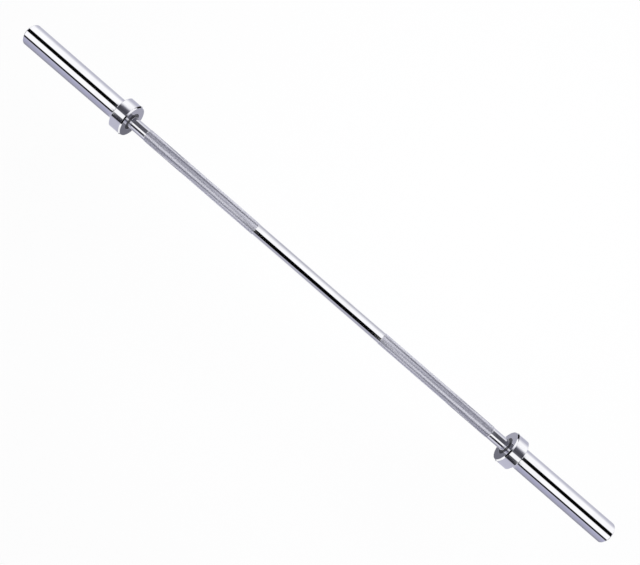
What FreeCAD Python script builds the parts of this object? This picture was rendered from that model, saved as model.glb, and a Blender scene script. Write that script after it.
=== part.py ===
"""A straight barbell whose two loading sleeves turn freely on the ends of the shaft.

Millimetres. +X runs along the bar, +Z is up, and the origin is the middle of the shaft's axis.
Every turned piece is drawn as (x, radius) points and swept about the X axis. The right end is
built at +X, and the left end is the same set of pieces turned half a turn about Z.
"""

import FreeCAD, Part
import math
import os

# Shaft
GRIP_LENGTH = 1040.0  # from collar to collar
GRIP_DIAMETER = 28.0
CENTRE_LENGTH = 348.0  # smooth stretch in the middle
PLAIN_LENGTH = 44.0  # smooth stretch beside each collar
KNURL_RAISE = 0.15  # crests of the knurled bands above the smooth grip
KNURL_BEVEL = 0.8  # slope at each end of a knurled band, along the bar
SHOULDER_STEP = 1.5  # how much smaller in radius the journals inside the sleeves are
SHAFT_TAIL = 3.0  # journal left beyond the snap ring
SHAFT_CHAMFER = 1.0

# Sleeve and collar
SLEEVE_DIAMETER = 50.0  # passes through a two inch plate
SLEEVE_LENGTH = 250.0  # loadable, from collar to end
SLEEVE_EDGE = 1.6  # broken edge that plates slide over
BORE_EDGE = 0.8  # broken edge round the end cap's bore
SPIGOT_STEP = 1.0  # how much smaller in radius the spigot under the collar is
COLLAR_SHOULDER = 13.0  # how far the collar stands above the sleeve
COLLAR_WIDTH = 29.0
COLLAR_BEVEL_LENGTH = 3.0  # bevel on the side of the grip, along the bar
COLLAR_BEVEL_HEIGHT = 2.4  # and radial
COLLAR_EDGE = 1.2  # broken edge on the side of the plates
LIP_EDGE = 0.3  # broken edge round the hole that the shaft enters

# Bushings, thrust washers and dust seal
BUSHING_WALL = 3.45
BUSHING_LENGTH = 40.0
BUSHING_CHAMFER = 0.6
BUSHING_STEP = 1.5  # shoulder that each bushing is pressed against
WASHER_THICKNESS = 1.5
WASHER_OVERLAP = 1.0  # how far a washer reaches past the bushing's outside
SEAL_RECESS = 0.8  # from the collar's inner face to the seal
SEAL_WIDTH = 3.1
SEAL_HEIGHT = 6.1  # radial, from its lip to the hole in the collar
SEAL_BEVEL = 0.5  # round the lip that wipes the shaft

# Snap ring on the shaft
SNAP_THICKNESS = 1.2
SNAP_GROOVE_DEPTH = 0.55
SNAP_WIDTH = 3.0  # radial
SNAP_GAP = 4.0  # between the two ends of the ring
SNAP_LUG_RADIUS = 2.0
SNAP_HOLE_RADIUS = 1.0

# End cap and the ring that holds it
CAP_SEAT = 2.5  # radial width of the step that the cap rests on
CAP_THICKNESS = 4.0
CAP_CHAMFER = 0.8
CAP_DISH_DEPTH = 0.8
CAP_DISH_RADIUS = 14.0
CAP_LAND = 2.5  # sleeve left beyond the ring's groove
CAP_RING_THICKNESS = 1.75
CAP_GROOVE_DEPTH = 1.2
CAP_RING_WIDTH = 3.2  # radial
CAP_RING_GAP = 9.0
CAP_LUG_RADIUS = 2.4
CAP_HOLE_RADIUS = 1.2

# Clearances
RUNNING_GAP = 0.05  # radial, bushing on journal
WASHER_GAP = 0.1  # radial, washer on journal
SEAL_GAP = 0.1  # radial, seal lip on shaft
SEAL_SETBACK = 0.3  # from the seal to the thrust washer
END_FLOAT = 0.3  # axial play of a sleeve, each way
RING_GAP = 0.05  # snap rings in their grooves
CAP_GAP = 0.1  # radial, cap in its bore
CHAMBER_GAP = 2.0  # radial, round the outer washer and the snap ring
TAIL_GAP = 1.0  # from the end of the shaft to the cap
CUT_OVERRUN = 1.0  # how far cutting tools reach past what they cut

# Radii, from the axis outwards
grip_r = GRIP_DIAMETER / 2
knurl_r = grip_r + KNURL_RAISE
journal_r = grip_r - SHOULDER_STEP
snap_groove_r = journal_r - SNAP_GROOVE_DEPTH
bushing_bore_r = journal_r + RUNNING_GAP
bushing_r = bushing_bore_r + BUSHING_WALL
relief_r = bushing_r - BUSHING_STEP
washer_bore_r = journal_r + WASHER_GAP
washer_r = bushing_r + WASHER_OVERLAP
seal_lip_r = grip_r + SEAL_GAP
seal_r = seal_lip_r + SEAL_HEIGHT
chamber_r = washer_r + CHAMBER_GAP
cap_bore_r = chamber_r + CAP_SEAT
cap_r = cap_bore_r - CAP_GAP
cap_groove_r = cap_bore_r + CAP_GROOVE_DEPTH
sleeve_r = SLEEVE_DIAMETER / 2
spigot_r = sleeve_r - SPIGOT_STEP
collar_r = sleeve_r + COLLAR_SHOULDER

# Places along the bar, from the middle outwards
knurl_in = CENTRE_LENGTH / 2
collar_in = GRIP_LENGTH / 2
knurl_out = collar_in - PLAIN_LENGTH
seal_in = collar_in + SEAL_RECESS
seal_out = seal_in + SEAL_WIDTH
shoulder = seal_out + SEAL_SETBACK
tube_in = shoulder + WASHER_THICKNESS + END_FLOAT
collar_out = collar_in + COLLAR_WIDTH
tube_out = collar_out + SLEEVE_LENGTH
cap_groove_out = tube_out - CAP_LAND
cap_groove_in = cap_groove_out - CAP_RING_THICKNESS - 2 * RING_GAP
cap_in = cap_groove_in - CAP_THICKNESS
shaft_end = cap_in - TAIL_GAP
snap_groove_out = shaft_end - SHAFT_TAIL
snap_groove_in = snap_groove_out - SNAP_THICKNESS - 2 * RING_GAP
outer_washer_in = snap_groove_in - WASHER_THICKNESS
bushing_out = outer_washer_in - END_FLOAT

ORIGIN = FreeCAD.Vector(0, 0, 0)
X_AXIS = FreeCAD.Vector(1, 0, 0)
Z_AXIS = FreeCAD.Vector(0, 0, 1)
FULL_TURN = 360
HALF_TURN = 180


def turned(profile):
    """The solid swept by a closed outline of (x, radius) points about the X axis."""
    points = [FreeCAD.Vector(x, 0, radius) for x, radius in profile]
    outline = Part.makePolygon(points + points[:1])
    return Part.Face(outline).revolve(ORIGIN, X_AXIS, FULL_TURN)


def disc(radius, start, length, y=0, z=0):
    """A cylinder along X, from start, with its axis at (y, z)."""
    return Part.makeCylinder(radius, length, FreeCAD.Vector(start, y, z), X_AXIS)


def shaft():
    """The whole steel shaft, with raised knurl bands, journals and snap ring grooves."""
    right_half = [
        (knurl_in, grip_r),
        (knurl_in + KNURL_BEVEL, knurl_r),
        (knurl_out - KNURL_BEVEL, knurl_r),
        (knurl_out, grip_r),
        (shoulder, grip_r),
        (shoulder, journal_r),
        (snap_groove_in, journal_r),
        (snap_groove_in, snap_groove_r),
        (snap_groove_out, snap_groove_r),
        (snap_groove_out, journal_r),
        (shaft_end - SHAFT_CHAMFER, journal_r),
        (shaft_end, journal_r - SHAFT_CHAMFER),
        (shaft_end, 0),
    ]
    left_half = [(-x, radius) for x, radius in reversed(right_half)]
    return turned(left_half + right_half)


def sleeve_tube():
    """The loading sleeve, with a spigot for the collar, two bushing seats and a cap seat."""
    return turned(
        [
            (tube_in, bushing_r),
            (tube_in, spigot_r),
            (collar_out, spigot_r),
            (collar_out, sleeve_r),
            (tube_out - SLEEVE_EDGE, sleeve_r),
            (tube_out, sleeve_r - SLEEVE_EDGE),
            (tube_out, cap_bore_r + BORE_EDGE),
            (tube_out - BORE_EDGE, cap_bore_r),
            (cap_groove_out, cap_bore_r),
            (cap_groove_out, cap_groove_r),
            (cap_groove_in, cap_groove_r),
            (cap_groove_in, cap_bore_r),
            (cap_in, cap_bore_r),
            (cap_in, chamber_r),
            (bushing_out, chamber_r),
            (bushing_out, bushing_r),
            (bushing_out - BUSHING_LENGTH, bushing_r),
            (bushing_out - BUSHING_LENGTH, relief_r),
            (tube_in + BUSHING_LENGTH, relief_r),
            (tube_in + BUSHING_LENGTH, bushing_r),
        ]
    )


def collar():
    """The stop that plates rest against: a cup pressed onto the spigot until its lip meets the tube.

    Its bore opens in a bevel up to the sleeve's own radius, which the step of the sleeve closes.
    """
    return turned(
        [
            (collar_in, seal_r + LIP_EDGE),
            (collar_in, collar_r - COLLAR_BEVEL_HEIGHT),
            (collar_in + COLLAR_BEVEL_LENGTH, collar_r),
            (collar_out - COLLAR_EDGE, collar_r),
            (collar_out, collar_r - COLLAR_EDGE),
            (collar_out, sleeve_r),
            (collar_out - SPIGOT_STEP, spigot_r),
            (tube_in, spigot_r),
            (tube_in, seal_r),
            (collar_in + LIP_EDGE, seal_r),
        ]
    )


def dust_seal():
    """A flat rubber ring behind the collar's lip, bevelled where it wipes the shaft."""
    return turned(
        [
            (seal_in, seal_lip_r + SEAL_BEVEL),
            (seal_in, seal_r),
            (seal_out, seal_r),
            (seal_out, seal_lip_r),
            (seal_in + SEAL_BEVEL, seal_lip_r),
        ]
    )


def bushing(start):
    """A plain bronze bearing, with a lead-in chamfer at both outside edges."""
    end = start + BUSHING_LENGTH
    return turned(
        [
            (start, bushing_bore_r),
            (start, bushing_r - BUSHING_CHAMFER),
            (start + BUSHING_CHAMFER, bushing_r),
            (end - BUSHING_CHAMFER, bushing_r),
            (end, bushing_r - BUSHING_CHAMFER),
            (end, bushing_bore_r),
        ]
    )


def thrust_washer(start):
    """A flat bronze ring that takes the sleeve's end load."""
    end = start + WASHER_THICKNESS
    return turned(
        [(start, washer_bore_r), (start, washer_r), (end, washer_r), (end, washer_bore_r)]
    )


def split_ring(start, thickness, inner_r, outer_r, gap, lug_r, hole_r, lug_centre_r):
    """A spring ring split at +Z, with a plier hole in the lug at each of its two ends."""
    ring = disc(outer_r, start, thickness).cut(disc(inner_r, start, thickness))
    lug_y = gap / 2 + lug_r
    lug_z = math.sqrt(lug_centre_r**2 - lug_y**2)
    lugs = [disc(lug_r, start, thickness, side * lug_y, lug_z) for side in (-1, 1)]
    corner = FreeCAD.Vector(start - CUT_OVERRUN, -gap / 2, 0)
    slot = Part.makeBox(
        thickness + 2 * CUT_OVERRUN, gap, outer_r + lug_r + CUT_OVERRUN, corner
    )
    holes = [disc(hole_r, start, thickness, side * lug_y, lug_z) for side in (-1, 1)]
    return ring.cut(slot).fuse(lugs).cut(holes).removeSplitter()


def snap_ring():
    """The ring in the shaft's groove that stops the sleeve from sliding off, lugs outwards."""
    inner_r = snap_groove_r + RING_GAP
    outer_r = inner_r + SNAP_WIDTH
    return split_ring(
        snap_groove_in + RING_GAP,
        SNAP_THICKNESS,
        inner_r,
        outer_r,
        SNAP_GAP,
        SNAP_LUG_RADIUS,
        SNAP_HOLE_RADIUS,
        outer_r,
    )


def end_cap():
    """The disc that closes the sleeve, with a shallow bare dish in its outer face."""
    cap_out = cap_in + CAP_THICKNESS
    return turned(
        [
            (cap_in, 0),
            (cap_in, cap_r),
            (cap_out - CAP_CHAMFER, cap_r),
            (cap_out, cap_r - CAP_CHAMFER),
            (cap_out, CAP_DISH_RADIUS),
            (cap_out - CAP_DISH_DEPTH, CAP_DISH_RADIUS - CAP_DISH_DEPTH),
            (cap_out - CAP_DISH_DEPTH, 0),
        ]
    )


def end_cap_ring():
    """The ring sprung into the sleeve's mouth to hold the cap, lugs inwards."""
    outer_r = cap_groove_r - RING_GAP
    inner_r = outer_r - CAP_RING_WIDTH
    return split_ring(
        cap_groove_in + RING_GAP,
        CAP_RING_THICKNESS,
        inner_r,
        outer_r,
        CAP_RING_GAP,
        CAP_LUG_RADIUS,
        CAP_HOLE_RADIUS,
        inner_r,
    )


def end_pieces():
    """Every piece at the right end of the bar, by name."""
    return {
        "sleeve_tube": sleeve_tube(),
        "collar": collar(),
        "dust_seal": dust_seal(),
        "inner_thrust_washer": thrust_washer(shoulder),
        "inner_bushing": bushing(tube_in),
        "outer_bushing": bushing(bushing_out - BUSHING_LENGTH),
        "outer_thrust_washer": thrust_washer(outer_washer_in),
        "snap_ring": snap_ring(),
        "end_cap": end_cap(),
        "end_cap_ring": end_cap_ring(),
    }


def write(name, shape):
    """Saves one piece as a STEP file named after it."""
    shape.exportStep(os.path.join("parts", name + ".step"))


os.makedirs("parts", exist_ok=True)
write("shaft", shaft())
for piece, solid in end_pieces().items():
    write("right_" + piece, solid)
    write("left_" + piece, solid.rotated(ORIGIN, Z_AXIS, HALF_TURN))
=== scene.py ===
"""Looks for the barbell: fine turned meshes, a real diamond knurl, procedural metals and a studio."""

import math

import bpy
import numpy as np
from mathutils import Matrix, Vector


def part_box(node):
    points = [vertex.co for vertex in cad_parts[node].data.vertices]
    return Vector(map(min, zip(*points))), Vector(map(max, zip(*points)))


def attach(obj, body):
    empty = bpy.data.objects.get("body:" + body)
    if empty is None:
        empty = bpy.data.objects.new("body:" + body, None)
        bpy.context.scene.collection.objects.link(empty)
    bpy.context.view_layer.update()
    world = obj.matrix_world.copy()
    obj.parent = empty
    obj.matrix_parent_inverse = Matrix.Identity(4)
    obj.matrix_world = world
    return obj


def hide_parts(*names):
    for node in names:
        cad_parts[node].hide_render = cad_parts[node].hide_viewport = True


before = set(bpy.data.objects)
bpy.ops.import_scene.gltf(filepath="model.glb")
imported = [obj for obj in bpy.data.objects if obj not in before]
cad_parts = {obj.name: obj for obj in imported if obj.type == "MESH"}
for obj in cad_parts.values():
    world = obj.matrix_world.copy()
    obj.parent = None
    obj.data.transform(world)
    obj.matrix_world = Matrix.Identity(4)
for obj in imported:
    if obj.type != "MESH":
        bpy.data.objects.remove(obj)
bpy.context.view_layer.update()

MM = 0.001

# Sizes in millimetres that the CAD boxes don't show
GRIP_R = 14.0
CENTRE_HALF = 174.0
PLAIN_LENGTH = 44.0
JOURNAL_R = 12.5
SHOULDER_INSET = 4.2
SNAP_GROOVE_R = 11.95
SNAP_GROOVE_WIDTH = 1.3
SHAFT_TAIL = 3.0
SHAFT_CHAMFER = 1.0
COLLAR_BEVEL_LENGTH = 3.0
COLLAR_BEVEL_HEIGHT = 2.4
COLLAR_EDGE = 1.2
LIP_EDGE = 0.3
SPIGOT_STEP = 1.0
SLEEVE_EDGE = 1.6
BORE_EDGE = 0.8
BUSHING_R = 16.0
BUSHING_LENGTH = 40.0
RELIEF_R = 14.5
CHAMBER_R = 19.0
CAP_BORE_R = 21.5
CAP_GROOVE_R = 22.7
CAP_LAND = 2.5
CAP_GROOVE_WIDTH = 1.85
CAP_CHAMFER = 0.8
CAP_DISH_R = 14.0
CAP_DISH_DEPTH = 0.8
SEAL_GAP = 0.1
SEAL_BEVEL = 0.5
SLEEVE_FILLET = 1.2
EDGE_FILLET = 0.3
LIP_FILLET = 0.1
SEAL_FILLET = 0.4

# Knurl
STARTS = 46
SIDES_PER_START = 4  # of the smooth stretches, whose corners meet the diamonds'
COLUMNS = 184
KNURL_DEPTH = 0.16
KNURL_FLAT_SHARE = 0.68
KNURL_RAISE = 0.15
KNURL_BEVEL = 0.8
KNURL_RELIEF = 0.1

# Meshes
SEGMENTS = 192
ARC_STEPS = 4
WELD_DIGITS = 5  # decimals of a millimetre


def low_high(node):
    """A CAD node's lowest and highest corner, in millimetres."""
    low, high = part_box(node)
    return np.array(low) / MM, np.array(high) / MM


def rounded(corners):
    """Turns (x, radius, corner radius) corners of a closed outline into drawn segments.

    Each segment is (start, end, normal at start, normal at end), with the normals pointing out of
    the solid when it lies to the right of the way that the outline runs.
    """
    points = [np.array(c[:2], float) for c in corners]
    count = len(points)
    arcs = []
    for i, (p, corner) in enumerate(zip(points, corners)):
        before = points[i - 1] - p
        after = points[(i + 1) % count] - p
        before, after = before / np.linalg.norm(before), after / np.linalg.norm(after)
        rho = corner[2] if len(corner) > 2 else 0
        normals = [np.array([before[1], -before[0]]), np.array([-after[1], after[0]])]
        if rho == 0:
            arcs.append([(p, normals[0]), (p, normals[1])])
            continue
        half = math.acos(np.clip(before @ after, -1, 1)) / 2
        reach = rho / math.tan(half)
        start, end = p + before * reach, p + after * reach
        centre = p + (before + after) / np.linalg.norm(before + after) * rho / math.sin(half)
        side = 1 if (start - centre) @ normals[0] > 0 else -1
        drawn = []
        for k in range(ARC_STEPS + 1):
            share = k / ARC_STEPS
            turn = math.pi - 2 * half
            weight_a = math.sin((1 - share) * turn) / math.sin(turn)
            weight_b = math.sin(share * turn) / math.sin(turn)
            normal = normals[0] * weight_a + normals[1] * weight_b
            drawn.append((centre + side * rho * normal, normal))
        arcs.append(drawn)
    segments = []
    for i, arc in enumerate(arcs):
        for (p, n), (q, m) in zip(arc, arc[1:]):
            if np.linalg.norm(p - q) > 0:
                segments.append((p, q, n, m))
        p, n = arc[-1]
        q, m = arcs[(i + 1) % count][0]
        segments.append((p, q, n, m))
    return segments


class Builder:
    """Collects faces with their corner normals and materials, and makes one welded mesh."""

    def __init__(self):
        self.points, self.faces, self.normals, self.slots = [], [], [], []
        self.index = {}

    def point(self, p):
        key = tuple(round(float(c), WELD_DIGITS) for c in p)
        if key not in self.index:
            self.index[key] = len(self.points)
            self.points.append(key)
        return self.index[key]

    def face(self, corners, normals, slot):
        ids, kept = [], []
        for p, n in zip(corners, normals):
            i = self.point(p)
            if i not in ids:
                ids.append(i)
                kept.append(n)
        if len(ids) > 2:
            self.faces.append(ids)
            self.normals.extend(kept)
            self.slots.append(slot)

    def flat(self, corners, slot):
        a, b, c = (np.array(corners[i], float) for i in (0, 1, 2))
        normal = np.cross(b - a, c - a)
        self.face(corners, [normal / np.linalg.norm(normal)] * len(corners), slot)

    def lathe(self, segments, slot_of, count=SEGMENTS):
        """Sweeps outline segments round the X axis; slot_of(middle of a segment) gives its material."""
        turns = np.linspace(0, 2 * math.pi, count, endpoint=False)
        rim = [(math.cos(t), math.sin(t)) for t in turns]
        for p, q, n, m in segments:
            if p[1] == 0 and q[1] == 0:
                continue
            slot = slot_of((p + q) / 2)
            for j in range(count):
                (c0, s0), (c1, s1) = rim[j], rim[(j + 1) % count]
                corners = [
                    (p[0], p[1] * c0, p[1] * s0),
                    (p[0], p[1] * c1, p[1] * s1),
                    (q[0], q[1] * c1, q[1] * s1),
                    (q[0], q[1] * c0, q[1] * s0),
                ]
                normals = [
                    (n[0], n[1] * c0, n[1] * s0),
                    (n[0], n[1] * c1, n[1] * s1),
                    (m[0], m[1] * c1, m[1] * s1),
                    (m[0], m[1] * c0, m[1] * s0),
                ]
                self.face(corners, normals, slot)

    def mesh(self, name, materials):
        made = bpy.data.meshes.new(name)
        made.from_pydata([[c * MM for c in p] for p in self.points], [], self.faces)
        made.polygons.foreach_set("material_index", self.slots)
        made.polygons.foreach_set("use_smooth", [True] * len(self.faces))
        made.update()
        made.normals_split_custom_set([tuple(n) for n in self.normals])
        for material in materials:
            made.materials.append(material)
        return made


def place(name, mesh, body, slot, *nodes):
    """Shows a mesh in place of CAD nodes, riding on a body."""
    obj = bpy.data.objects.new(name, mesh)
    bpy.context.scene.collection.objects.link(obj)
    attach(obj, body)
    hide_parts(*nodes)
    return obj


# Materials


class Nodes:
    """A short way to write a material's or the world's node tree."""

    def __init__(self, tree):
        self.tree = tree
        tree.nodes.clear()

    def add(self, kind, *inputs, **settings):
        node = self.tree.nodes.new(kind)
        for key, value in settings.items():
            setattr(node, key, value)
        for i, value in enumerate(inputs):
            self.put(node, i, value)
        return node

    def put(self, node, key, value):
        if value is None:
            return
        if isinstance(value, bpy.types.NodeSocket):
            self.tree.links.new(value, node.inputs[key])
        else:
            node.inputs[key].default_value = value

    def math(self, operation, *values):
        return self.add("ShaderNodeMath", *values, operation=operation).outputs[0]

    def smooth(self, value, low, high, to_low=0.0, to_high=1.0):
        node = self.add("ShaderNodeMapRange", value, interpolation_type="SMOOTHSTEP")
        limits = {"From Min": low, "From Max": high, "To Min": to_low, "To Max": to_high}
        for key, number in limits.items():
            self.put(node, key, number)
        return node.outputs[0]

    def mix(self, factor, a, b):
        node = self.add("ShaderNodeMix", data_type="RGBA")
        for key, value in zip((0, 6, 7), (factor, a, b)):
            self.put(node, key, value)
        return node.outputs[2]

    def noise(self, vector, scale, detail=2.0, roughness=0.5):
        node = self.add("ShaderNodeTexNoise")
        settings = {"Vector": vector, "Scale": scale, "Detail": detail, "Roughness": roughness}
        for key, value in settings.items():
            self.put(node, key, value)
        return node.outputs[0]

    def position(self):
        return self.add("ShaderNodeTexCoord").outputs["Object"]

    def stretched(self, vector, scale):
        return self.add("ShaderNodeVectorMath", vector, scale, operation="MULTIPLY").outputs[0]

    def radius(self, vector):
        parts = self.add("ShaderNodeSeparateXYZ", vector).outputs
        squares = [self.math("MULTIPLY", parts[k], parts[k]) for k in (1, 2)]
        return self.math("SQRT", self.math("ADD", *squares))

    def bump(self, height, distance, strength):
        node = self.add("ShaderNodeBump")
        for key, value in (("Height", height), ("Distance", distance), ("Strength", strength)):
            self.put(node, key, value)
        return node.outputs[0]


def material(name, metallic, color, roughness, bump, specular=0.5):
    """A Principled material; color, roughness and bump are values, or functions that build them."""
    made = bpy.data.materials.new(name)
    made.use_nodes = True
    nodes = Nodes(made.node_tree)
    shader = nodes.add("ShaderNodeBsdfPrincipled")
    shader.inputs["Metallic"].default_value = metallic
    shader.inputs["Specular IOR Level"].default_value = specular
    for key, value in (("Base Color", color), ("Roughness", roughness), ("Normal", bump)):
        nodes.put(shader, key, value(nodes) if callable(value) else value)
    nodes.add("ShaderNodeOutputMaterial", shader.outputs[0])
    return made


CHROME = (0.90, 0.90, 0.925, 1)
CHROME_DULL = (0.84, 0.84, 0.87, 1)


def chrome_color(nodes):
    cloud = nodes.noise(nodes.position(), 22.0, 3.0)
    return nodes.mix(nodes.smooth(cloud, 0.35, 0.75), CHROME, CHROME_DULL)


def chrome_roughness(nodes):
    here = nodes.position()
    lines = nodes.noise(nodes.stretched(here, (2600.0, 20.0, 20.0)), 1.0, 2.0)
    smudge = nodes.noise(here, 9.0, 4.0, 0.6)
    both = nodes.math("MULTIPLY", lines, smudge)
    return nodes.smooth(both, 0.1, 0.6, 0.03, 0.075)


def chrome_bump(nodes):
    lines = nodes.noise(nodes.stretched(nodes.position(), (1800.0, 12.0, 12.0)), 1.0, 2.0)
    return nodes.bump(lines, 0.000004, 0.08)


polished = material("polished_chrome", 1.0, chrome_color, chrome_roughness, chrome_bump)

VALLEY_R = (GRIP_R + KNURL_RAISE - KNURL_DEPTH) * MM
CREST_R = (GRIP_R + KNURL_RAISE) * MM


def knurl_height(nodes):
    return nodes.smooth(nodes.radius(nodes.position()), VALLEY_R, CREST_R)


def knurl_color(nodes):
    # Valleys darker than the crests: partly grime, partly painted shade in the recesses between the
    # diamonds.
    grime = nodes.noise(nodes.position(), 900.0, 3.0)
    valley_grime_and_shade = nodes.mix(nodes.smooth(grime, 0.3, 0.7), (0.26, 0.26, 0.30, 1), (0.36, 0.36, 0.41, 1))
    return nodes.mix(knurl_height(nodes), valley_grime_and_shade, (0.84, 0.84, 0.92, 1))


def knurl_roughness(nodes):
    return nodes.smooth(knurl_height(nodes), 0.0, 1.0, 0.32, 0.16)


def knurl_bump(nodes):
    return nodes.bump(nodes.noise(nodes.position(), 4200.0, 2.0), 0.000005, 0.4)


knurled = material("knurled_chrome", 1.0, knurl_color, knurl_roughness, knurl_bump)


def rings(nodes, scale, detail):
    """Noise in rings round the bar's axis, as a cutting tool leaves on a faced surface."""
    out = nodes.add("ShaderNodeCombineXYZ", nodes.radius(nodes.position())).outputs[0]
    return nodes.noise(nodes.stretched(out, (scale, 1.0, 1.0)), 1.0, detail)


def turned_color(nodes):
    cut = nodes.smooth(rings(nodes, 2400.0, 3.0), 0.3, 0.7)
    return nodes.mix(cut, (0.56, 0.56, 0.61, 1), (0.70, 0.70, 0.75, 1))


def turned_bump(nodes):
    return nodes.bump(rings(nodes, 3000.0, 2.0), 0.00001, 0.2)


def turned_roughness(nodes):
    cloud = nodes.noise(nodes.position(), 60.0, 3.0)
    return nodes.smooth(cloud, 0.3, 0.7, 0.10, 0.15)


turned = material("turned_chrome", 1.0, turned_color, turned_roughness, turned_bump)


def worn_color(nodes):
    nicks = nodes.noise(nodes.position(), 320.0, 4.0, 0.6)
    return nodes.mix(nodes.smooth(nicks, 0.35, 0.65), (0.58, 0.58, 0.62, 1), (0.76, 0.76, 0.80, 1))


def worn_roughness(nodes):
    return nodes.smooth(nodes.noise(nodes.position(), 500.0, 3.0), 0.3, 0.7, 0.18, 0.32)


def worn_bump(nodes):
    return nodes.bump(nodes.noise(nodes.position(), 700.0, 3.0), 0.00002, 0.4)


worn = material("worn_chrome", 1.0, worn_color, worn_roughness, worn_bump)


def bronze_color(nodes):
    cloud = nodes.noise(nodes.position(), 140.0, 4.0, 0.6)
    return nodes.mix(nodes.smooth(cloud, 0.3, 0.7), (0.50, 0.31, 0.14, 1), (0.66, 0.44, 0.22, 1))


def bronze_bump(nodes):
    return nodes.bump(nodes.noise(nodes.position(), 2500.0, 2.0), 0.00003, 0.5)


bronze = material("bearing_bronze", 1.0, bronze_color, 0.38, bronze_bump)


def rubber_color(nodes):
    cloud = nodes.noise(nodes.position(), 400.0, 4.0)
    return nodes.mix(cloud, (0.012, 0.012, 0.017, 1), (0.028, 0.028, 0.036, 1))


def rubber_bump(nodes):
    return nodes.bump(nodes.noise(nodes.position(), 1500.0, 3.0), 0.00001, 0.5)


rubber = material("seal_rubber", 0.0, rubber_color, 0.20, rubber_bump, 0.45)


def spring_color(nodes):
    cloud = nodes.noise(nodes.position(), 220.0, 4.0)
    return nodes.mix(cloud, (0.10, 0.10, 0.11, 1), (0.24, 0.24, 0.25, 1))


def spring_bump(nodes):
    return nodes.bump(nodes.noise(nodes.position(), 1800.0, 2.0), 0.00003, 0.5)


spring = material("spring_steel", 1.0, spring_color, 0.36, spring_bump)


# Shaft: one closed mesh, smooth stretches swept and knurl bands made of cut diamonds


def shaft_mesh():
    _, high = low_high("shaft")
    collar_low, _ = low_high("right_collar")
    crest_r = high[2]
    valley_r = crest_r - KNURL_DEPTH
    end = high[0]
    knurl_in = CENTRE_HALF + KNURL_BEVEL
    bevel_out = collar_low[0] - PLAIN_LENGTH
    knurl_out = bevel_out - KNURL_BEVEL
    shoulder = collar_low[0] + SHOULDER_INSET
    groove_out = end - SHAFT_TAIL
    groove_in = groove_out - SNAP_GROOVE_WIDTH
    count = SIDES_PER_START * STARTS
    built = Builder()

    def sweep(points):
        segments = []
        for a, b in zip(points, points[1:]):
            a, b = np.array(a, float), np.array(b, float)
            d = (b - a) / np.linalg.norm(b - a)
            n = np.array([-d[1], d[0]])
            segments.append((a, b, n, n))
        built.lathe(segments, lambda middle: 0, count)

    right = [
        (knurl_out, valley_r),
        (knurl_out + KNURL_RELIEF, valley_r),
        (knurl_out + KNURL_RELIEF, crest_r),
        (bevel_out, GRIP_R),
        (shoulder, GRIP_R),
        (shoulder, JOURNAL_R),
        (groove_in, JOURNAL_R),
        (groove_in, SNAP_GROOVE_R),
        (groove_out, SNAP_GROOVE_R),
        (groove_out, JOURNAL_R),
        (end - SHAFT_CHAMFER, JOURNAL_R),
        (end, JOURNAL_R - SHAFT_CHAMFER),
        (end, 0),
    ]
    sweep(right)
    sweep([(-x, r) for x, r in reversed(right)])
    middle = [
        (CENTRE_HALF, GRIP_R),
        (knurl_in - KNURL_RELIEF, crest_r),
        (knurl_in - KNURL_RELIEF, valley_r),
        (knurl_in, valley_r),
    ]
    sweep([(-x, r) for x, r in reversed(middle)] + middle)

    unit = 2 * math.pi / STARTS
    quarter = 1 / SIDES_PER_START
    step = (knurl_out - knurl_in) / COLUMNS

    def spot(x, turn, radius):
        angle = turn * unit
        return (x, radius * math.cos(angle), radius * math.sin(angle))

    for start in (knurl_in, -knurl_out):
        for column in range(COLUMNS + 1):
            x = start + column * step
            for k in range(STARTS):
                turn = k + (0.5 if column % 2 == 0 else 0.0)
                west, east = spot(x - step, turn, valley_r), spot(x + step, turn, valley_r)
                south, north = spot(x, turn - 0.5, valley_r), spot(x, turn + 0.5, valley_r)
                top_w = spot(x - step * KNURL_FLAT_SHARE, turn, crest_r)
                top_e = spot(x + step * KNURL_FLAT_SHARE, turn, crest_r)
                top_s = spot(x, turn - 0.5 * KNURL_FLAT_SHARE, crest_r)
                top_n = spot(x, turn + 0.5 * KNURL_FLAT_SHARE, crest_r)
                east_side = [[south, top_s, top_e, east], [east, top_e, top_n, north]]
                west_side = [[north, top_n, top_w, west], [west, top_w, top_s, south]]
                feet = [spot(x, turn + part, valley_r) for part in (-quarter, 0.0, quarter)]
                if column == 0:
                    end_wall = [north, top_n, top_s, south, *feet]
                    faces = [[top_n, top_e, top_s], end_wall] + east_side
                elif column == COLUMNS:
                    end_wall = [south, top_s, top_n, north, *feet[::-1]]
                    faces = [[top_s, top_w, top_n], end_wall] + west_side
                else:
                    faces = [[top_w, top_n, top_e, top_s]] + east_side + west_side
                for corners in faces:
                    built.flat(corners, 1)
    return built.mesh("shaft_turned", [polished, knurled])


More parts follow.
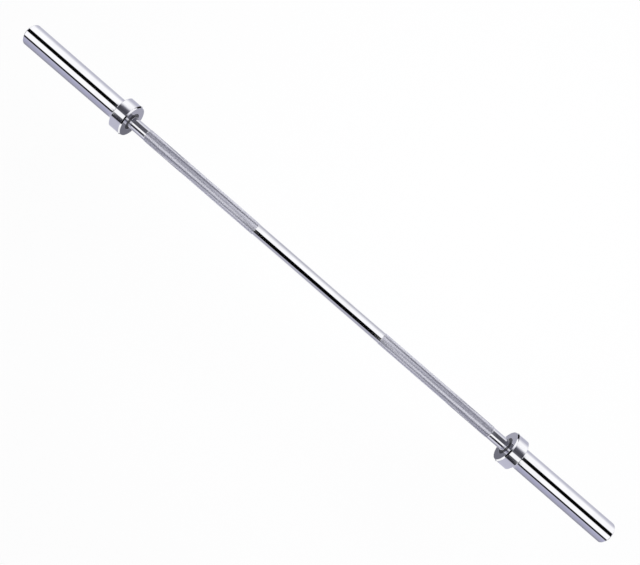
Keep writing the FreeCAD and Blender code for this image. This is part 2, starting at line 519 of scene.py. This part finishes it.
def right_tube():
    low, high = low_high("right_sleeve_tube")
    _, collar_high = low_high("right_collar")
    cap_low, _ = low_high("right_end_cap")
    bush_low, bush_high = low_high("right_outer_bushing")
    r = high[2]
    x0, x1 = low[0], high[0]
    groove_out = x1 - CAP_LAND
    groove_in = groove_out - CAP_GROOVE_WIDTH
    outline = rounded([
        (x0, BUSHING_R),
        (x0, r - SPIGOT_STEP),
        (collar_high[0], r - SPIGOT_STEP),
        (collar_high[0], r),
        (x1 - SLEEVE_EDGE, r, SLEEVE_FILLET),
        (x1, r - SLEEVE_EDGE, SLEEVE_FILLET),
        (x1, CAP_BORE_R + BORE_EDGE, EDGE_FILLET),
        (x1 - BORE_EDGE, CAP_BORE_R, EDGE_FILLET),
        (groove_out, CAP_BORE_R),
        (groove_out, CAP_GROOVE_R),
        (groove_in, CAP_GROOVE_R),
        (groove_in, CAP_BORE_R),
        (cap_low[0], CAP_BORE_R),
        (cap_low[0], CHAMBER_R),
        (bush_high[0], CHAMBER_R),
        (bush_high[0], BUSHING_R),
        (bush_low[0], BUSHING_R),
        (bush_low[0], RELIEF_R),
        (x0 + BUSHING_LENGTH, RELIEF_R),
        (x0 + BUSHING_LENGTH, BUSHING_R),
    ])

    def worn_or_polished(middle):
        return 1 if middle[0] > x1 - SLEEVE_EDGE and middle[1] > CAP_BORE_R else 0

    built = Builder()
    built.lathe(outline, worn_or_polished)
    return built.mesh("sleeve_turned", [polished, worn])


def right_collar():
    low, high = low_high("right_collar")
    tube_low, tube_high = low_high("right_sleeve_tube")
    r = high[2]
    face_r = r - COLLAR_BEVEL_HEIGHT
    hole = low_high("right_dust_seal")[1][2]
    bore = tube_high[2] - SPIGOT_STEP
    x0, x1 = low[0], high[0]
    outline = rounded([
        (x0, hole + LIP_EDGE, LIP_FILLET),
        (x0, face_r, EDGE_FILLET),
        (x0 + COLLAR_BEVEL_LENGTH, r, EDGE_FILLET),
        (x1 - COLLAR_EDGE, r, EDGE_FILLET),
        (x1, r - COLLAR_EDGE, EDGE_FILLET),
        (x1, tube_high[2]),
        (x1 - SPIGOT_STEP, bore),
        (tube_low[0], bore),
        (tube_low[0], hole),
        (x0 + LIP_EDGE, hole, LIP_FILLET),
    ])

    def turned_or_polished(middle):
        return 1 if middle[0] < x0 + LIP_EDGE and middle[1] < face_r else 0

    built = Builder()
    built.lathe(outline, turned_or_polished)
    return built.mesh("collar_turned", [polished, turned])


def right_seal():
    low, high = low_high("right_dust_seal")
    r = high[2]
    lip = GRIP_R + SEAL_GAP
    x0, x1 = low[0], high[0]
    outline = rounded([
        (x0, lip + SEAL_BEVEL, SEAL_FILLET),
        (x0, r),
        (x1, r),
        (x1, lip),
        (x0 + SEAL_BEVEL, lip, SEAL_FILLET),
    ])
    built = Builder()
    built.lathe(outline, lambda middle: 0)
    return built.mesh("seal_moulded", [rubber])


def right_cap():
    low, high = low_high("right_end_cap")
    r = high[2]
    x0, x1 = low[0], high[0]
    outline = rounded([
        (x0, 0),
        (x0, r),
        (x1 - CAP_CHAMFER, r, EDGE_FILLET),
        (x1, r - CAP_CHAMFER, EDGE_FILLET),
        (x1, CAP_DISH_R, EDGE_FILLET),
        (x1 - CAP_DISH_DEPTH, CAP_DISH_R - CAP_DISH_DEPTH, EDGE_FILLET),
        (x1 - CAP_DISH_DEPTH, 0),
    ])
    built = Builder()
    built.lathe(outline, lambda middle: 0)
    return built.mesh("cap_turned", [turned])


HALF_TURN = Matrix.Rotation(math.pi, 4, "Z")

place("bar_shaft", shaft_mesh(), "shaft", "shaft_chrome", "shaft")
for piece, node, slot, make in (
    ("sleeve", "sleeve_tube", "sleeve_chrome", right_tube),
    ("collar_ring", "collar", "collar_chrome", right_collar),
    ("seal", "dust_seal", "seal_rubber", right_seal),
    ("cap", "end_cap", "cap_chrome", right_cap),
):
    mesh = make()
    place("right_" + piece, mesh, "right_sleeve", slot, "right_" + node)
    turned_round = mesh.copy()
    turned_round.transform(HALF_TURN)
    place("left_" + piece, turned_round, "left_sleeve", slot, "left_" + node)

# The bushings, washers and split rings stay as solids

for name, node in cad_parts.items():
    if node.hide_render:
        continue
    kind = spring if "ring" in name else bronze
    node.data.materials.clear()
    node.data.materials.append(kind)


# Camera, straight above the middle of the bar and rolled as in the photo

FRAME_WIDTH = 640
SENSOR = 36.0
DISTANCE = 1.34
PIXELS_PER_METRE = 475.5
ROLL = 40.94
CENTRE_SHIFT = (1.2, 1.25)  # pixels
CLIP = (0.01, 50.0)

lens = bpy.data.cameras.new("camera")
lens.sensor_width = SENSOR
lens.lens = PIXELS_PER_METRE * DISTANCE * SENSOR / FRAME_WIDTH
lens.shift_x = CENTRE_SHIFT[0] / FRAME_WIDTH
lens.shift_y = CENTRE_SHIFT[1] / FRAME_WIDTH
lens.clip_start, lens.clip_end = CLIP
camera = bpy.data.objects.new("camera", lens)
camera.location = (0, 0, DISTANCE)
camera.rotation_euler = (0, 0, math.radians(ROLL))
bpy.context.scene.collection.objects.link(camera)
bpy.context.scene.camera = camera

# Floor: a white sheet below the bar, which is held up as on a rack

FLOOR_DROP = 0.95
SHEET = (2.4, 2.14)
FLOOR_GLOW = 0.9  # share of plain white that a ray meets
PAPER = (0.92, 0.92, 0.92, 1)

floor_mesh = bpy.data.meshes.new("floor")
half_w, half_d = SHEET[0] / 2, SHEET[1] / 2
sheet_corners = [(-half_w, -half_d, 0), (half_w, -half_d, 0), (half_w, half_d, 0), (-half_w, half_d, 0)]
floor_mesh.from_pydata(sheet_corners, [], [(0, 1, 2, 3)])
floor = bpy.data.objects.new("floor", floor_mesh)
floor.location = (0, 0, -FLOOR_DROP)
floor.rotation_euler = (0, 0, math.radians(ROLL))
bpy.context.scene.collection.objects.link(floor)

paper = bpy.data.materials.new("floor_paper")
paper.use_nodes = True
paper_nodes = Nodes(paper.node_tree)
light_path = paper_nodes.add("ShaderNodeLightPath").outputs
seen = paper_nodes.math("MAXIMUM", light_path["Is Camera Ray"], light_path["Is Glossy Ray"])
seen = paper_nodes.math("MAXIMUM", seen, light_path["Is Transmission Ray"])
white = paper_nodes.add("ShaderNodeEmission", (1, 1, 1, 1), 1.0).outputs[0]
matte = paper_nodes.add("ShaderNodeBsdfDiffuse", PAPER).outputs[0]
glow = paper_nodes.math("MULTIPLY", seen, FLOOR_GLOW)
shown = paper_nodes.add("ShaderNodeMixShader", glow, matte, white).outputs[0]
paper_nodes.add("ShaderNodeOutputMaterial", shown)
floor_mesh.materials.append(paper)

# Studio: what the metal sees, in bands round the bar's axis. Each stretch of the bar reflects one
# range of directions along the axis, so the soft boxes and flags are set for each range by itself.
# Angles run from straight up, positive towards +Y; then brightness and blue. The levels were chosen
# from how bright the photo shows each stretch across its width, and adjusted to match it.

WHITE = (1.1, 1.1)
BLACK = (0.001, 0.001)

CENTRE_LIGHT = (
    (-105, 0.42, 0.50), (-80, 0.49, 0.57), (-68, 0.49, 0.57),
    (-65, *BLACK), (-5, *BLACK),
    (-2, *WHITE), (48, *WHITE), (70, 0.82, 0.86), (92, 0.57, 0.62), (108, 0.51, 0.58),
)
GRIP_LIGHT = (
    (-118, 0.34, 0.41), (-104, 0.45, 0.52), (-92, 0.64, 0.73), (-82, 0.74, 0.83), (-69, 0.74, 0.83),
    (-66, 0.03, 0.04), (-33, 0.03, 0.04),
    (-30, *WHITE), (-5, *WHITE),
    (-2, 0.092, 0.11), (65, 0.092, 0.11),
    (70, 0.82, 0.87), (84, 0.82, 0.87), (107, 0.55, 0.63),
)
KNURL_START_LIGHT = (
    (-135, 0.55, 0.63), (-118, 0.40, 0.48), (-98, 0.60, 0.68), (-88, *WHITE), (-70, *WHITE),
    (-64, 0.66, 0.74), (-50, 0.66, 0.74),
    (-43, *WHITE), (-9, *WHITE),
    (-2, 0.42, 0.49), (22, 0.42, 0.49), (29, 0.92, 0.97), (46, 0.92, 0.97),
    (54, 0.10, 0.12), (74, 0.08, 0.10),
    (84, *WHITE), (128, *WHITE), (134, 0.60, 0.68),
)
KNURL_LIGHT = (
    (-135, 0.55, 0.63), (-118, 0.38, 0.46), (-95, 0.42, 0.50), (-70, 0.42, 0.50),
    (-66, 0.13, 0.16), (-46, 0.13, 0.16),
    (-40, *WHITE), (-14, *WHITE),
    (-6, 0.24, 0.29), (45, 0.24, 0.29), (74, 0.10, 0.12),
    (82, *WHITE), (128, *WHITE), (134, 0.60, 0.68),
)
KNURL_END_LIGHT = (
    (-135, 0.55, 0.63), (-118, 0.34, 0.41), (-95, 0.36, 0.43), (-70, 0.36, 0.43),
    (-66, 0.28, 0.33), (-50, 0.28, 0.33),
    (-44, *WHITE), (1, *WHITE),
    (8, 0.48, 0.55), (45, 0.50, 0.57), (74, 0.24, 0.28),
    (82, *WHITE), (128, *WHITE), (134, 0.60, 0.68),
)
COLLAR_LIGHT = (
    (-60, 0.56, 0.66),
    (-56, 0.02, 0.025), (-46, 0.03, 0.04), (-35, 0.07, 0.085), (-28, 0.085, 0.10),
    (-25, *WHITE), (-2, *WHITE),
    (1, 0.115, 0.14), (17, 0.07, 0.085), (32, 0.11, 0.135), (39, 0.21, 0.25), (49, 0.85, 0.89),
    (56, *WHITE), (84, *WHITE), (98, 0.78, 0.83), (112, 0.53, 0.62),
)
SLEEVE_LIGHT = (
    (-128, 0.33, 0.40), (-113, 0.40, 0.49), (-103, 0.42, 0.56), (-88, 0.42, 0.56),
    (-75, 0.49, 0.62), (-65, 0.49, 0.62),
    (-62, 0.01, 0.012), (-47, 0.01, 0.012),
    (-44, *WHITE), (-2, *WHITE),
    (1, *BLACK), (32, *BLACK),
    (35, *WHITE), (81, *WHITE), (95, 0.84, 0.89), (107, 0.66, 0.73), (117, 0.57, 0.65),
)
OPEN_LIGHT = (
    (-135, 0.52, 0.60), (-124, 0.30, 0.36), (-108, 0.30, 0.36), (-100, *WHITE), (-48, *WHITE),
    (-42, 0.56, 0.63), (-32, 0.56, 0.63), (-28, *WHITE), (-14, *WHITE),
    (-9, 0.05, 0.06), (3, 0.05, 0.06),
    (8, 0.56, 0.63), (32, 0.56, 0.63), (38, *WHITE), (100, *WHITE),
    (108, 0.30, 0.36), (122, 0.30, 0.36), (130, 0.52, 0.60),
)
ENDWAYS_LIGHT = (
    (-135, 0.52, 0.60), (-128, *WHITE), (-90, *WHITE),
    (-82, 0.01, 0.012), (2, 0.01, 0.012),
    (14, 0.22, 0.25), (22, 0.60, 0.65), (40, 0.95, 1.0), (50, *WHITE), (130, *WHITE), (136, 0.52, 0.60),
)
AXIS_LIGHT = ((0, 0.72, 0.78),)


def reflected_along(x, radius):
    """How far a ray leans along the bar after it meets the top of a turned piece, 1 being endways."""
    return x / math.hypot(x, DISTANCE / MM - radius)


collar_low, collar_high = low_high("right_collar")
_, sleeve_high = low_high("right_sleeve_tube")
SHARP = 0.0008
SOFT = 0.06
MEDIUM = 0.03
ENDWAYS_BLEND = 0.015
AXIS_BLEND = 0.025
KNURL_START = 6  # millimetres past the smooth centre
KNURL_MIDDLE = 110
KNURL_LATE = 220
PLAIN_LEAD = 4  # millimetres before the plain stretch
OPEN_LEAD = 0.02
ENDWAYS_FROM = 0.70
AXIS_FROM = 0.955
plain_from = collar_low[0] - PLAIN_LENGTH - PLAIN_LEAD
face_middle_r = (GRIP_R + collar_high[2]) / 2
open_from = reflected_along(sleeve_high[0], sleeve_high[2]) + OPEN_LEAD

# Where a stretch starts along the reflected directions, how softly, and its light
STRETCHES = (
    (reflected_along(CENTRE_HALF + KNURL_START, GRIP_R), SHARP, KNURL_START_LIGHT),
    (reflected_along(CENTRE_HALF + KNURL_MIDDLE, GRIP_R), SOFT, KNURL_LIGHT),
    (reflected_along(CENTRE_HALF + KNURL_LATE, GRIP_R), MEDIUM, KNURL_END_LIGHT),
    (reflected_along(plain_from, GRIP_R), SHARP, GRIP_LIGHT),
    (reflected_along(collar_low[0], face_middle_r), SHARP, COLLAR_LIGHT),
    (reflected_along(collar_high[0], collar_high[2]), SHARP, SLEEVE_LIGHT),
    (open_from, SHARP, OPEN_LIGHT),
    (ENDWAYS_FROM, ENDWAYS_BLEND, ENDWAYS_LIGHT),
    (AXIS_FROM, AXIS_BLEND, AXIS_LIGHT),
)

world = bpy.data.worlds.new("studio")
bpy.context.scene.world = world
world.use_nodes = True
sky = Nodes(world.node_tree)
direction = sky.add("ShaderNodeTexCoord").outputs["Generated"]
parts = sky.add("ShaderNodeSeparateXYZ", direction).outputs
around = sky.math("ARCTAN2", parts[1], parts[2])
around = sky.math("ADD", sky.math("DIVIDE", around, 2 * math.pi), 0.5)
along = sky.math("ABSOLUTE", parts[0])


def bands(stops):
    """The light of one stretch, as a ramp round the axis."""
    node = sky.add("ShaderNodeValToRGB", around)
    elements = node.color_ramp.elements
    elements.remove(elements[1])
    for i, (angle, level, blue) in enumerate(stops):
        position = angle / 360 + 0.5
        element = elements[0] if i == 0 else elements.new(position)
        element.position = position
        element.color = (level, level, blue, 1)
    return node.outputs[0]


light = bands(CENTRE_LIGHT)
for start, edge, stops in STRETCHES:
    beyond = sky.smooth(along, start - edge, start + edge)
    light = sky.mix(beyond, light, bands(stops))
studio = sky.add("ShaderNodeBackground", light, 1.0).outputs[0]
plain = sky.add("ShaderNodeBackground", (1, 1, 1, 1), 1.0).outputs[0]
camera_ray = sky.add("ShaderNodeLightPath").outputs["Is Camera Ray"]
backdrop = sky.add("ShaderNodeMixShader", camera_ray, studio, plain).outputs[0]
sky.add("ShaderNodeOutputWorld", backdrop)

# Cards near each collar, seen only in the metal, paint reflections on it. Its bevel mirrors a black one
# above, a painted dark crescent, and a glowing white one below, a painted highlight line. Its face
# mirrors two glowing grey ones under the bar, painted shade that makes the face's -Y half darker than
# its +Y half. A dim glowing screen, clear from behind, is what the end of the grip mirrors by way of
# the face, a painted darker reflection there.

CARD_REACH = 0.20
CARD_WIDTH = 0.036
FLAG_RIM = (50, 84)  # degrees round the bevel, from its top
BOUNCE_RIM = (-44, -84)
SHADE_DROP = 0.12
SHADE_ALONG = (-0.11, 0.0)  # from the collar's face
SHADE_REACH = 0.14
SCREEN_ALONG = -0.06
SCREEN_REACH = (0.14, 0.50)
SCREEN_TURN = (8, 95)  # degrees round the bar, from straight up
# Colours of the painted reflections: the black flag, the glowing white bounce, the two glowing grey
# cards of painted shade and the dim glowing screen
FLAG_BLACK = (0.002, 0.002, 0.002, 1)
BOUNCE_WHITE = (1, 1, 1, 1)
SHADE_LIGHT = (0.53, 0.53, 0.60, 1)
SHADE_DARK = (0.24, 0.24, 0.275, 1)
SCREEN_DIM = (0.16, 0.16, 0.19, 1)


def card_material(name, shader, *inputs):
    made = bpy.data.materials.new(name)
    made.use_nodes = True
    nodes = Nodes(made.node_tree)
    nodes.add("ShaderNodeOutputMaterial", nodes.add(shader, *inputs).outputs[0])
    return made


def card(name, corners, finish):
    """A flat card out of the camera's sight and casting no shadow, which only the metal mirrors: a
    painted reflection.
    """
    mesh = bpy.data.meshes.new(name)
    mesh.from_pydata(corners, [], [(0, 1, 2, 3)])
    mesh.materials.append(finish)
    made = bpy.data.objects.new(name, mesh)
    made.visible_camera = False
    made.visible_diffuse = False
    made.visible_shadow = False
    bpy.context.scene.collection.objects.link(made)


def seen_in_bevel(side, angle):
    """Where the camera looks by way of the middle of a collar's bevel, and the direction there."""
    outwards = Vector((0, math.sin(math.radians(angle)), math.cos(math.radians(angle))))
    along_bar = Vector((side, 0, 0))
    spot = along_bar * (collar_low[0] + COLLAR_BEVEL_LENGTH / 2) * MM
    spot += outwards * (collar_high[2] - COLLAR_BEVEL_HEIGHT / 2) * MM
    normal = outwards * COLLAR_BEVEL_LENGTH - along_bar * COLLAR_BEVEL_HEIGHT
    ray = (spot - camera.location).normalized().reflect(normal.normalized())
    return spot + ray * CARD_REACH, ray


def rim_corners(side, rim):
    (start, first_ray), (end, last_ray) = (seen_in_bevel(side, angle) for angle in rim)
    half = (end - start).cross(first_ray + last_ray).normalized() * CARD_WIDTH / 2
    return [start - half, start + half, end + half, end - half]


def shade_corners(side, reach):
    x0, x1 = (side * (collar_low[0] * MM + offset) for offset in SHADE_ALONG)
    return [(x, y, -SHADE_DROP) for x, y in ((x0, 0), (x1, 0), (x1, reach), (x0, reach))]


def screen_corners(side):
    x = side * (collar_low[0] * MM + SCREEN_ALONG)
    near, far = SCREEN_REACH
    first, last = (math.radians(turn) for turn in SCREEN_TURN)
    spans = ((near, first), (far, first), (far, last), (near, last))
    corners = [(x, reach * math.sin(turn), reach * math.cos(turn)) for reach, turn in spans]
    return corners if side < 0 else corners[::-1]


def screen_material():
    made = bpy.data.materials.new("screen_dim")
    made.use_nodes = True
    nodes = Nodes(made.node_tree)
    behind = nodes.add("ShaderNodeNewGeometry").outputs["Backfacing"]
    dim = nodes.add("ShaderNodeEmission", SCREEN_DIM, 1.0).outputs[0]
    clear = nodes.add("ShaderNodeBsdfTransparent").outputs[0]
    one_sided = nodes.add("ShaderNodeMixShader", behind, dim, clear).outputs[0]
    nodes.add("ShaderNodeOutputMaterial", one_sided)
    return made


flag_black = card_material("flag_black", "ShaderNodeBsdfDiffuse", FLAG_BLACK)
bounce_white = card_material("bounce_white", "ShaderNodeEmission", BOUNCE_WHITE, 1.0)
shade_light = card_material("shade_light", "ShaderNodeEmission", SHADE_LIGHT, 1.0)
shade_dark = card_material("shade_dark", "ShaderNodeEmission", SHADE_DARK, 1.0)
screen_dim = screen_material()
for name, side in (("left", -1), ("right", 1)):
    card(name + "_flag", rim_corners(side, FLAG_RIM), flag_black)
    card(name + "_bounce", rim_corners(side, BOUNCE_RIM), bounce_white)
    card(name + "_shade_light", shade_corners(side, SHADE_REACH), shade_light)
    card(name + "_shade_dark", shade_corners(side, -SHADE_REACH), shade_dark)
    card(name + "_screen", screen_corners(side), screen_dim)

# A soft key lamp

LAMP_SIZE = 1.2
LAMP_POWER = 60.0
LAMP_PLACE = (0.4, 0.9, 2.4)
LAMP_TILT = (-20, 9, 0)  # degrees

lamp_data = bpy.data.lights.new("key", "AREA")
lamp_data.shape = "DISK"
lamp_data.size = LAMP_SIZE
lamp_data.energy = LAMP_POWER
lamp = bpy.data.objects.new("key", lamp_data)
lamp.location = LAMP_PLACE
lamp.rotation_euler = [math.radians(tilt) for tilt in LAMP_TILT]
lamp.visible_camera = False
lamp.visible_glossy = False
bpy.context.scene.collection.objects.link(lamp)

bpy.context.scene.view_settings.view_transform = "Standard"
